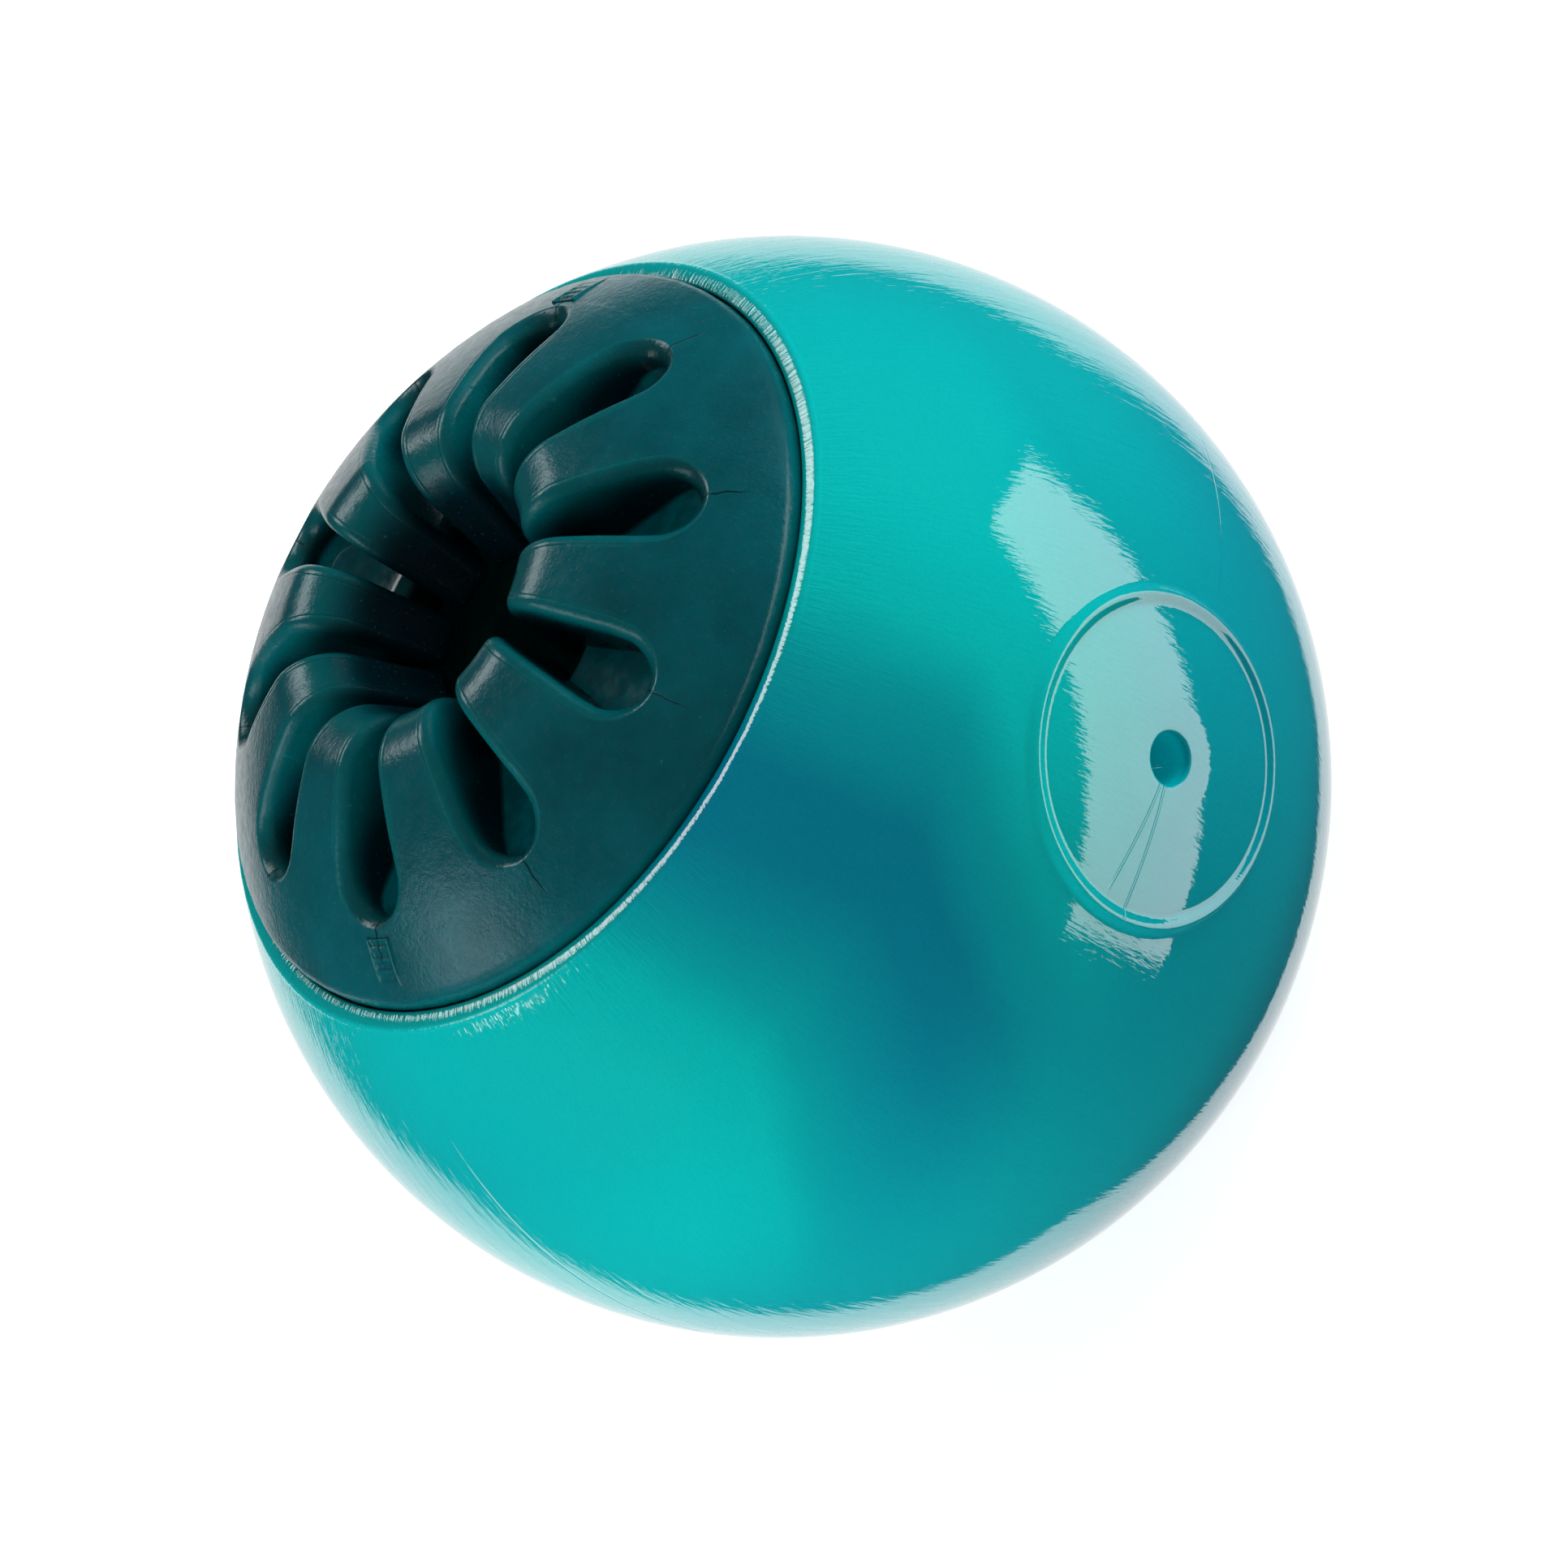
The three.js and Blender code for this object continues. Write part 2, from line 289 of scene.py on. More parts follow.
def new_material(name):
    material = bpy.data.materials.new(name)
    material.use_nodes = True
    return material, material.node_tree, material.node_tree.nodes["Principled BSDF"]


def grain_group():
    """Shader group: a fine and a coarse moulding grain and sparse specks, by place on the piece."""
    tree = bpy.data.node_groups.new("Moulding grain", "ShaderNodeTree")
    for name, kind in {"Place": "Vector", "Fine scale": "Float", "Coarse scale": "Float"}.items():
        tree.interface.new_socket(name, in_out="INPUT", socket_type="NodeSocket" + kind)
    for name in ("Fine", "Coarse", "Specks"):
        tree.interface.new_socket(name, in_out="OUTPUT", socket_type="NodeSocketFloat")
    given = add_node(tree, "NodeGroupInput").outputs
    fine = noise_node(tree, given["Place"], given["Fine scale"], 3, 0.6)
    coarse = noise_node(tree, given["Place"], given["Coarse scale"], 3, 0.55)
    specks = range_node(tree, noise_node(tree, given["Place"], given["Fine scale"], 1), 0.7, 0.76)
    add_node(tree, "NodeGroupOutput", {"Fine": fine, "Coarse": coarse, "Specks": specks})
    return tree


def grain_node(tree, place, fine_scale, coarse_scale):
    inputs = {"Place": place, "Fine scale": fine_scale, "Coarse scale": coarse_scale}
    group = bpy.data.node_groups["Moulding grain"]
    return add_node(tree, "ShaderNodeGroup", inputs, node_tree=group).outputs


def ball_material():
    """Glossy clear skin over pearl pigment; its pale swirl is partly painted light and its darker
    belt partly painted shade.
    """
    bright, pale, plain = (0, 0.63, 0.605), (0, 0.58, 0.56), (0, 0.45, 0.48)
    deep, dark = (0, 0.38, 0.455), (0, 0.28, 0.405)
    under_left, under_right_shaded, base = (0, 0.465, 0.51), (0, 0.36, 0.45), (0, 0.28, 0.365)
    material, tree, skin = new_material("Pearl teal rubber")
    place = add_node(tree, "ShaderNodeTexCoord").outputs["Object"]
    outward = vector_node(tree, "SUBTRACT", place, (0, 0, ball_middle))
    unit = vector_node(tree, "NORMALIZE", outward)
    parts = add_node(tree, "ShaderNodeSeparateXYZ", {0: unit}).outputs

    # The pearl colour lies in bands from side to side, which drift and lean: the pale bands are
    # partly painted light and the dark belt partly painted shade. Below them it fades to a tone
    # with painted shade toward the right side, and darker still toward the bottom.
    drift = math_node(tree, "SUBTRACT", noise_node(tree, place, 45, 3), 0.5)
    low = math_node(tree, "MAXIMUM", math_node(tree, "SUBTRACT", 0.4, parts["Z"]), 0)
    band_position = math_node(tree, "MULTIPLY_ADD", low, 0.75, parts["X"])
    beside, below = range_node(tree, parts["X"], -0.3, 0), range_node(tree, parts["Z"], 0.45, 0.15)
    lean = math_node(tree, "MULTIPLY", beside, below)
    band_position = math_node(tree, "MULTIPLY_ADD", lean, 0.09, band_position)
    band_position = math_node(tree, "MULTIPLY_ADD", drift, 0.16, band_position)
    band_position = math_node(tree, "MULTIPLY_ADD", band_position, 0.5, 0.5)
    stops = [(0.05, plain), (0.2, pale), (0.26, pale), (0.3, plain)]
    stops += [(0.345, deep), (0.42, dark), (0.485, dark), (0.53, deep)]
    stops += [(0.585, plain), (0.655, bright), (0.74, bright), (0.93, plain)]
    pearl_light_and_shade = ramp_node(tree, band_position, stops)
    # Below the bands: painted shade toward the right side, and darker still toward the bottom.
    side = range_node(tree, parts["X"], -1, 1)
    under = mix_node(tree, side, (*under_left, 1), (*under_right_shaded, 1))
    under = mix_node(tree, range_node(tree, parts["Z"], -0.38, -0.65), under, (*base, 1))
    pearl_light_and_shade = mix_node(tree, range_node(tree, parts["Z"], 0.25, -0.2), pearl_light_and_shade, under)
    grain = grain_node(tree, place, 5200, 1800)
    flakes = math_node(tree, "MULTIPLY_ADD", grain["Fine"], 0.35, 0.83)
    flakes = math_node(tree, "MULTIPLY_ADD", grain["Specks"], -0.22, flakes)
    tint = add_node(tree, "ShaderNodeCombineXYZ", {0: flakes, 1: flakes, 2: flakes}).outputs[0]
    tree.links.new(mix_node(tree, 1.0, pearl_light_and_shade, tint, "MULTIPLY"), skin.inputs["Base Color"])

    # The skin has ripples drawn out from mouth to base, folds at both sides and moulded hairlines.
    level = vector_node(tree, "NORMALIZE", vector_node(tree, "MULTIPLY", unit, (1, 1, 0)))
    down = math_node(tree, "MULTIPLY", math_node(tree, "ARCCOSINE", parts["Z"]), 0.2)
    down = add_node(tree, "ShaderNodeCombineXYZ", {"Z": down}).outputs[0]
    drawn = vector_node(tree, "ADD", level, down)
    ripple = noise_node(tree, drawn, 110, 2, 0.6)
    ripple = math_node(tree, "MULTIPLY", ripple, range_node(tree, parts["Z"], 0.56, 0.64, 1, 3))
    sideways = math_node(tree, "ABSOLUTE", parts["X"])
    folds = noise_node(tree, drawn, 36, 3, 0.6)
    folds = math_node(tree, "MULTIPLY", folds, range_node(tree, sideways, 0.6, 0.8, 0, 4))
    ripple = math_node(tree, "ADD", ripple, folds)
    wave = noise_node(tree, place, 160, 2)
    height = math_node(tree, "MULTIPLY_ADD", wave, 2.0, ripple)
    across_seam = (-math.sin(seam_turn), math.cos(seam_turn), 0)
    aside = math_node(tree, "ABSOLUTE", vector_node(tree, "DOT_PRODUCT", outward, across_seam))
    seam = range_node(tree, aside, seam_half_width, seam_floor)
    seam = math_node(tree, "MULTIPLY", seam, range_node(tree, parts["Z"], 0.6, 0.25, 0.2, 1))
    height = math_node(tree, "MULTIPLY_ADD", seam, -2.5, height)
    for line_turn, line_start, line_end in knit_lines:
        line = knit_line(tree, outward, math.radians(line_turn), line_start, line_end)
        height = math_node(tree, "MULTIPLY_ADD", line, -1.2, height)
    bump = add_node(tree, "ShaderNodeBump", {"Height": height, "Distance": gloss_bump}).outputs[0]
    tree.links.new(bump, skin.inputs["Normal"])
    tree.links.new(bump, skin.inputs["Coat Normal"])
    # Painted glow: the air hole's rim and bore are given an emission colour.
    tree.links.new(painted_vent_glow(tree, outward), skin.inputs["Emission Color"])
    skin.inputs["Emission Strength"].default_value = 1.0
    skin.inputs["Roughness"].default_value = 0.45
    skin.inputs["Specular IOR Level"].default_value = 0.0
    skin.inputs["Coat Weight"].default_value = 1.0
    skin.inputs["Coat Roughness"].default_value = 0.03
    skin.inputs["Coat IOR"].default_value = 1.8
    return material


def painted_vent_glow(tree, outward):
    """A painted glow round the air hole and in its bore: emission that stands for light seeping
    through the clear rubber.
    """
    vent = Vector((math.cos(vent_turn), math.sin(vent_turn), 0))
    along = vector_node(tree, "DOT_PRODUCT", outward, tuple(vent))
    reach = vector_node(tree, "LENGTH", vector_node(tree, "CROSS_PRODUCT", outward, tuple(vent)))
    glow = math_node(
        tree,
        "MULTIPLY",
        range_node(tree, along, ball_radius - 0.3 * mm, ball_radius - 1.2 * mm),
        range_node(tree, reach, vent_radius + 0.3 * mm, vent_radius + 0.1 * mm),
    )
    near = range_node(tree, along, 0.8 * ball_radius, 0.85 * ball_radius)
    return mix_node(tree, math_node(tree, "MULTIPLY", glow, near), (0, 0, 0, 1), (0, 0.1, 0.12, 1))


def knit_line(tree, outward, turn, start, end):
    """Mask of a hairline that runs from the air hole, where the rubber met again behind the pin."""
    vent = Vector((math.cos(vent_turn), math.sin(vent_turn), 0))
    east = Vector((0, 0, 1)).cross(vent)
    along = math.cos(turn) * east + math.sin(turn) * Vector((0, 0, 1))
    reach = vector_node(tree, "DOT_PRODUCT", outward, tuple(along))
    across = tuple(along.cross(vent))
    aside = math_node(tree, "ABSOLUTE", vector_node(tree, "DOT_PRODUCT", outward, across))
    near = range_node(tree, vector_node(tree, "DOT_PRODUCT", outward, tuple(vent)), 0, 0.01 * mm)
    line = range_node(tree, aside, knit_half_width, knit_floor)
    for limit, past in ((start, start + knit_fade), (end, 0.8 * end)):
        line = math_node(tree, "MULTIPLY", line, range_node(tree, reach, limit, past))
    return math_node(tree, "MULTIPLY", line, near)


def new_piece(name, mesh, material, body="ball"):
    """A finished piece that rides on a body, or on none when no body is given."""
    piece = bpy.data.objects.new(name, mesh)
    bpy.context.scene.collection.objects.link(piece)
    mesh.materials.clear()
    mesh.materials.append(material)
    if body:
        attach(piece, body)
    return piece


grain_group()
ball = new_piece("ball_skin", ball_mesh(), ball_material())
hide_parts("ball_shell")


# The gate collar: a satin moulding of darker, stiffer rubber that snaps into the ball's mouth.
# Its rim follows the ball's surface, and ten ribs stand on a floor plate with a round throat.
# Under the rim a skirt with a flange catches behind the ball's wall.
rib_count = 10
sector = 2 * math.pi / rib_count
hinge = Vector(frame["joints"][0]["pos_m"])
hinge_reach, hinge_height = math.hypot(hinge.x, hinge.y), hinge.z
collar_radius = 31.5 * mm
collar_edge = 0.5 * mm
skirt_radius = 28.3 * mm
flange_radius = 34 * mm
flange_thickness = 1.6 * mm
flange_curve, flange_squash = 39.9 * mm, 39.2 / 39.9
hollow_radius, hollow_mouth, hollow_squash = 40.2 * mm, 31.8 * mm, 0.983
groove_half_height, groove_depth = 1.5 * mm, 0.8 * mm
gate_floor = hinge_height - 3.2 * mm
floor_thickness = 3 * mm
throat_radius = 12.65 * mm
throat_lip = 1.5 * mm
slot_half = math.radians(10)
slot_reach = 26.9 * mm
rib_edge = 1.0 * mm
seam_reach = 18.5 * mm
crease_depth = 0.03 * mm
crease_share, crease_width = 0.965, 0.01
crease_end, crease_fade = 24.5 * mm, 3 * mm
split_start, split_end = (25.6 * mm, 26.0 * mm), (29.6 * mm, 28.4 * mm)
# Bend angles over which edges get wear and a painted highlight.
edge_light_and_wear_from_degrees, edge_light_and_wear_over_degrees = 9, 10
seam_margin = 0.1 * mm
bed_steps = 4
grain_bump = 0.03 * mm
rib_shares = np.array([0, 0.3, 0.6, 0.85, 0.935, crease_share, 1])
rib_shares = np.concatenate([-rib_shares[:0:-1], rib_shares])
rib_creases = crease_depth * np.exp(-(((np.abs(rib_shares) - crease_share) / crease_width) ** 2))
edge_turns = np.radians(np.arange(0, 91, 15))


def polar(reach, turn, height):
    reach, turn, height = np.broadcast_arrays(reach, turn, height)
    return np.stack([reach * np.cos(turn), reach * np.sin(turn), height], axis=-1)


def slot_side():
    """Points along one side of a slot, from the seam to its end, with the level way into it."""
    end = slot_reach / (1 + math.sin(slot_half))
    straight = np.linspace(seam_reach, end * math.cos(slot_half), 9)[:-1]
    plan = [(reach * math.cos(slot_half), -reach * math.sin(slot_half)) for reach in straight]
    into = [(math.sin(slot_half), math.cos(slot_half))] * len(straight)
    bend = end * math.sin(slot_half)
    for turn in np.linspace(slot_half - math.pi / 2, 0, 16):
        plan.append((end + bend * math.cos(turn), bend * math.sin(turn)))
        into.append((-math.cos(turn), -math.sin(turn)))
    turned = np.array(Matrix.Rotation(sector / 2, 2))
    return np.array(plan) @ turned.T, np.array(into) @ turned.T


def rounded_edge(plan, into, height, normal):
    """Rows across a rounded edge: out over a slot and down from the surface."""
    bearing = plan / np.linalg.norm(plan, axis=1)[:, None]
    top = np.column_stack([plan, height])
    sideways = np.column_stack([into, np.zeros(len(into))])
    proud = np.column_stack([bearing * normal[0][:, None], normal[1]])
    rows = []
    for turn in edge_turns:
        rows.append(top + rib_edge * (math.sin(turn) * sideways - (1 - math.cos(turn)) * proud))
    return np.stack(rows, axis=1)


def join_patches(patches, polygons):
    points, faces = [], []
    for patch in patches:
        rows, columns = patch.shape[:2]
        for row in range(rows - 1):
            for column in range(columns - 1):
                corner = len(points) + row * columns + column
                faces.append((corner, corner + 1, corner + columns + 1, corner + columns))
        points.extend(patch.reshape(-1, 3))
    for polygon in polygons:
        faces.append(tuple(range(len(points), len(points) + len(polygon))))
        points.extend(polygon)
    return points, faces


def collar_profile():
    """Outline of the collar from the top of its rim, down and under, to the throat's lip."""
    hollow_brim = ball_middle + hollow_squash * math.sqrt(hollow_radius**2 - hollow_mouth**2)
    bead = (ball_height(mouth_radius) + hollow_brim) / 2

    def flange_height(reach):
        return ball_middle + flange_squash * math.sqrt(flange_curve**2 - reach**2)

    crest = collar_radius - collar_edge
    brim = ball_height(collar_radius)
    foot = flange_height(flange_radius) - flange_thickness
    under = gate_floor - floor_thickness
    throat_edge = []
    for turn in np.radians(np.arange(180, 89, -15)):
        reach = throat_radius + throat_lip + throat_lip * math.cos(turn)
        throat_edge.append((reach, gate_floor - throat_lip * (1 - math.sin(turn))))
    edge_top, edge_foot = (crest, ball_height(crest)), (collar_radius, brim - collar_edge)
    return [
        *bent_corner(edge_top, (collar_radius, brim), edge_foot, 6),
        edge_foot,
        (collar_radius, bead + groove_half_height),
        (collar_radius - groove_depth, bead),
        (collar_radius, bead - groove_half_height),
        (collar_radius, flange_height(collar_radius)),
        (flange_radius, flange_height(flange_radius)),
        (flange_radius - flange_thickness / 2, foot),
        (skirt_radius, foot),
        (skirt_radius, under),
        (throat_radius, under),
        *throat_edge,
    ]


def collar_sector():
    """One rib with half a slot on each side, from the throat to the flange."""
    plan, into = slot_side()
    reaches = np.linalg.norm(plan, axis=1)
    turns = np.arctan2(plan[:, 1], plan[:, 0])
    side = rounded_edge(plan, into, ball_height(reaches), ball_normal(reaches))
    foot = side[:, -1] * (1, 1, 0) + (0, 0, gate_floor)
    wall = np.stack([side[:, -1], side[:, -1] / 2 + foot / 2, foot], axis=1)
    axis = np.array([math.cos(sector / 2), math.sin(sector / 2), 0])
    middle = np.outer(foot @ axis, axis) + (0, 0, gate_floor)
    shares = range(bed_steps + 1)
    bed = np.stack([foot + (middle - foot) * share / bed_steps for share in shares], axis=1)

    rim = np.linspace(slot_reach, collar_radius - collar_edge, 7)[1:]
    all_reaches = np.concatenate([reaches, rim])[:, None]
    all_turns = np.concatenate([turns, np.full(len(rim), sector / 2)])[:, None]
    fade = np.clip((crease_end - all_reaches) / crease_fade, 0, 1)
    heights = ball_height(all_reaches) - fade * rib_creases
    crest = polar(all_reaches, all_turns * rib_shares, heights)
    spread = rib_shares * sector / 2
    band = np.stack([polar(reach, spread, height) for reach, height in collar_profile()])

    left = (1, -1, 1)
    half = [side, wall, bed]
    patches = [crest, band, *half, *[patch * left for patch in half]]
    right_wall = [*side[0][1:], wall[0][1], foot[0]]
    left_wall = [foot[0] * left, wall[0][1] * left, *(side[0][:0:-1] * left)]
    cap = [*crest[0], *right_wall, *left_wall]
    inner = [*band[-1], *bed[0][::-1], *(bed[0] * left)]
    return finished_mesh("collar_sector", *join_patches(patches, [cap, inner]))


def ring_of_copies():
    """Geometry nodes that set copies of a shape round the upright axis and weld where they meet."""
    tree = bpy.data.node_groups.new("Ring of copies", "GeometryNodeTree")
    sockets = {"Shape": "Geometry", "Count": "Int", "First turn": "Float", "Step": "Float"}
    sockets["Material"] = "Material"
    for name, kind in sockets.items():
        tree.interface.new_socket(name, in_out="INPUT", socket_type="NodeSocket" + kind)
    tree.interface.new_socket("Ring", in_out="OUTPUT", socket_type="NodeSocketGeometry")
    given = add_node(tree, "NodeGroupInput").outputs
    places = add_node(tree, "GeometryNodePoints", {"Count": given["Count"]}).outputs[0]
    number = add_node(tree, "GeometryNodeInputIndex").outputs[0]
    turn = math_node(tree, "MULTIPLY_ADD", number, given["Step"], given["First turn"])
    turned = add_node(tree, "ShaderNodeCombineXYZ", {"Z": turn}).outputs[0]
    inputs = {"Points": places, "Instance": given["Shape"], "Rotation": turned}
    copies = add_node(tree, "GeometryNodeInstanceOnPoints", inputs).outputs[0]
    whole = add_node(tree, "GeometryNodeRealizeInstances", {0: copies}).outputs[0]
    inputs = {"Geometry": whole, "Distance": weld_distance}
    welded = add_node(tree, "GeometryNodeMergeByDistance", inputs).outputs[0]
    inputs = {"Geometry": welded, "Material": given["Material"]}
    shown = add_node(tree, "GeometryNodeSetMaterial", inputs).outputs[0]
    add_node(tree, "NodeGroupOutput", {"Ring": shown})
    return tree


def copied_round(name, mesh, tree, count, first_turn, step, material):
    """The plain mesh of a shape copied round the upright axis."""
    source = bpy.data.objects.new(name, mesh)
    bpy.context.scene.collection.objects.link(source)
    modifier = source.modifiers.new("Ring of copies", "NODES")
    modifier.node_group = tree
    values = {"Count": count, "First turn": first_turn, "Step": step, "Material": material}
    for socket in tree.interface.items_tree:
        if socket.name in values:
            modifier[socket.identifier] = values[socket.name]
    shown = source.evaluated_get(bpy.context.evaluated_depsgraph_get())
    result = bpy.data.meshes.new_from_object(shown)
    bpy.data.objects.remove(source)
    result.name = name
    result.shade_smooth()
    result.set_sharp_from_angle(angle=sharp_turn)
    mark_edges(result)
    return result


def mark_edges(mesh):
    """Writes how sharply the surface turns outward at each point, for the wear and painted
    highlight along edges.
    """
    work = bmesh.new()
    work.from_mesh(mesh)
    work.normal_update()
    bends = np.zeros(len(work.verts))
    for edge in work.edges:
        offsets = [abs(point.co.xy.length - seam_reach) for point in edge.verts]
        at_seam = max(offsets) < seam_margin
        if len(edge.link_faces) == 2 and not at_seam:
            bend = edge.calc_face_angle_signed()
            for point in edge.verts:
                bends[point.index] = max(bends[point.index], bend)
    work.free()
    marks = mesh.attributes.new("edge", "FLOAT", "POINT")
    wear_and_highlight = (np.degrees(bends) - edge_light_and_wear_from_degrees) / edge_light_and_wear_over_degrees
    marks.data.foreach_set("value", np.clip(wear_and_highlight, 0, 1))


def gate_material():
    """Dark satin rubber with a leathery grain. Edges are paler with wear and a painted highlight,
    the slot walls get a painted glow near their tops and painted shade with depth, and the slot
    floors are paler with scuffs and painted light.
    """
    lit, low, edge_light_and_wear = (0, 0.12, 0.145), (0, 0.078, 0.096), (0, 0.15, 0.155)
    scuffed_and_lit, shaded, cracked = (0, 0.27, 0.32), (0, 0.008, 0.014), (0, 0.012, 0.015)
    material, tree, skin = new_material("Dark teal rubber")
    place = add_node(tree, "ShaderNodeTexCoord").outputs["Object"]
    grain = grain_node(tree, place, 3000, 1100)
    cloud = noise_node(tree, place, 130, 4, 0.6)
    colour = ramp_node(tree, cloud, [(0.3, low), (0.7, lit)])

    # Painted light and shade: edges are clearer with wear and a painted highlight, the tops of the
    # slot walls get a painted glow of light through thin rubber, the slots get painted shade with
    # depth, and their floors are paler with scuffs and painted light.
    parts = add_node(tree, "ShaderNodeSeparateXYZ", {0: place}).outputs
    reach = vector_node(tree, "LENGTH", vector_node(tree, "MULTIPLY", place, (1, 1, 0)))
    on_floor = range_node(tree, parts["Z"], gate_floor + 0.5 * mm, gate_floor)
    outer, inner = (slot_reach + 0.2 * mm, slot_reach), (throat_radius, throat_radius + 0.4 * mm)
    for limit, past in (outer, inner):
        on_floor = math_node(tree, "MULTIPLY", on_floor, range_node(tree, reach, limit, past))
    top = math_node(tree, "SUBTRACT", ball_radius**2, math_node(tree, "MULTIPLY", reach, reach))
    top = math_node(tree, "MULTIPLY_ADD", math_node(tree, "SQRT", top), ball_squash, ball_middle)
    depth = math_node(tree, "SUBTRACT", top, parts["Z"])
    depth = math_node(tree, "MULTIPLY", depth, range_node(tree, reach, 16 * mm, 22 * mm, 1, 1.8))
    edge = add_node(tree, "ShaderNodeAttribute", attribute_name="edge").outputs["Fac"]
    # Painted glow near the tops of the slot walls, and a painted highlight along sharp edges that
    # also stands for wear.
    clear = math_node(
        tree,
        "MULTIPLY",
        range_node(tree, depth, 0.3 * mm, 1.5 * mm),
        range_node(tree, depth, 4.5 * mm, 1.5 * mm),
    )
    clear = math_node(tree, "MULTIPLY", clear, 0.5)
    clear = math_node(tree, "MAXIMUM", clear, math_node(tree, "MULTIPLY", edge, 0.6))
    colour = mix_node(tree, clear, colour, (*edge_light_and_wear, 1))
    shade = range_node(tree, depth, 0.8 * mm, 6 * mm, 0, 0.94)
    colour = mix_node(tree, shade, colour, (*shaded, 1))
    # Slot floors painted paler: scuffs, plus painted light where the floors lie in shade.
    scuffs_and_light = range_node(tree, noise_node(tree, place, 420, 4, 0.65), 0.4, 0.65, 0.6, 0.95)
    colour = mix_node(tree, math_node(tree, "MULTIPLY", on_floor, scuffs_and_light), colour, (*scuffed_and_lit, 1))
    specks = math_node(tree, "MULTIPLY", grain["Specks"], 0.25)
    colour = mix_node(tree, specks, colour, (*scuffed_and_lit, 1))

    # A fine split runs from each slot's end toward the rim.
    turn = math_node(tree, "ARCTAN2", parts["Y"], parts["X"])
    turn = math_node(tree, "SUBTRACT", math_node(tree, "FLOORED_MODULO", turn, sector), sector / 2)
    sway = math_node(tree, "MULTIPLY_ADD", noise_node(tree, place, 700, 2), 0.5 * mm, -0.25 * mm)
    aside = math_node(tree, "ABSOLUTE", math_node(tree, "MULTIPLY_ADD", turn, reach, sway))
    split = range_node(tree, aside, 0.1 * mm, 0.03 * mm)
    for limit, past in (split_start, split_end):
        split = math_node(tree, "MULTIPLY", split, range_node(tree, reach, limit, past))
    colour = mix_node(tree, math_node(tree, "MULTIPLY", split, 0.8), colour, (*cracked, 1))
    tree.links.new(colour, skin.inputs["Base Color"])

    height = math_node(tree, "MULTIPLY_ADD", grain["Coarse"], 1.2, grain["Fine"])
    height = math_node(tree, "MULTIPLY", height, range_node(tree, on_floor, 0, 1, 1, 0))
    height = math_node(tree, "MULTIPLY_ADD", split, -2.0, height)
    bump = add_node(tree, "ShaderNodeBump", {"Height": height, "Distance": grain_bump}).outputs[0]
    tree.links.new(bump, skin.inputs["Normal"])
    satin = range_node(tree, grain["Coarse"], 0.3, 0.7, 0.2, 0.28)
    satin = math_node(tree, "MULTIPLY_ADD", on_floor, -0.14, satin)
    tree.links.new(satin, skin.inputs["Roughness"])
    skin.inputs["Specular IOR Level"].default_value = 0.4
    return material


ring_tree = ring_of_copies()
gate_rubber = gate_material()
rib_mesh = collar_sector()
collar_mesh = copied_round("collar", rib_mesh, ring_tree, rib_count, 0.0, sector, gate_rubber)
collar = new_piece("collar", collar_mesh, gate_rubber)
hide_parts("gate_collar")


# The flow marks: two shallow ribbed channels in the collar, where the rubber ran into the mould.
# They are part of the same moulding, lie opposite each other and fade from a slot's end to the rim.
mark_half_width = 1.5 * mm
mark_start, mark_end = 27.5 * mm, 30.7 * mm
mark_rail = 0.28 * mm
mark_ribs = 4.5
rail_place, rail_width = 0.78, 0.13
mark_skin, mark_sink, mark_depth = 0.03 * mm, 0.02 * mm, 0.15 * mm


def flow_mark():
    """A thin plate on the rim with a rail along each side, low ribs across and sunken edges."""
    along, across = np.linspace(0, 1, 46)[:, None], np.linspace(-1, 1, 33)
    reach = mark_start + (mark_end - mark_start) * along
    fade = (1 - along) ** 0.7
    rails = np.exp(-(((np.abs(across) - rail_place) / rail_width) ** 2))
    wave = 0.5 + 0.5 * np.cos(2 * np.pi * mark_ribs * along)
    ribs = 0.7 * wave**2 * np.clip((0.7 - np.abs(across)) / 0.1, 0, 1)
    edge = np.clip((1 - np.abs(across)) / 0.1, 0, 1)
    edge = edge * np.clip((1 - along) / 0.05, 0, 1) * np.clip(along / 0.03, 0, 1)
    rise = (mark_rail * fade * (rails + ribs) + mark_skin) * edge - mark_sink * (1 - edge)
    turn = mark_half_width * across / reach
    top = polar(reach, turn, ball_height(reach) + rise)
    under = polar(reach, turn, ball_height(reach) - mark_depth)
    ends = [np.stack([top[0], under[0]]), np.stack([top[-1], under[-1]])]
    sides = [np.stack([top[:, 0], under[:, 0]]), np.stack([top[:, -1], under[:, -1]])]
    return finished_mesh("flow_mark", *join_patches([top, under, *ends, *sides], []))


mark_mesh = copied_round("flow_marks", flow_mark(), ring_tree, 2, sector / 2, math.pi, gate_rubber)
new_piece("flow_marks", mark_mesh, gate_rubber)


# The gate fingers: the free inner ends of the ten ribs, one moulding with the collar.
# Each bends over a rounded shoulder and hangs past the throat with a leaning tip. On the real toy
# its root in the rib gives like a living hinge when a treat goes through; here each finger is built
# in place and set on no body.
shoulder_end = math.radians(160)
tip_foot = gate_floor - 3 * mm
tip_thickness = 3.2 * mm
tip_round = 0.8 * mm
heel_reach, sole_reach, heel_step = 12.4 * mm, 14.3 * mm, 0.3 * mm
root_gap = 0.02 * mm
root_reach, free_reach = 18.2 * mm, 12.6 * mm


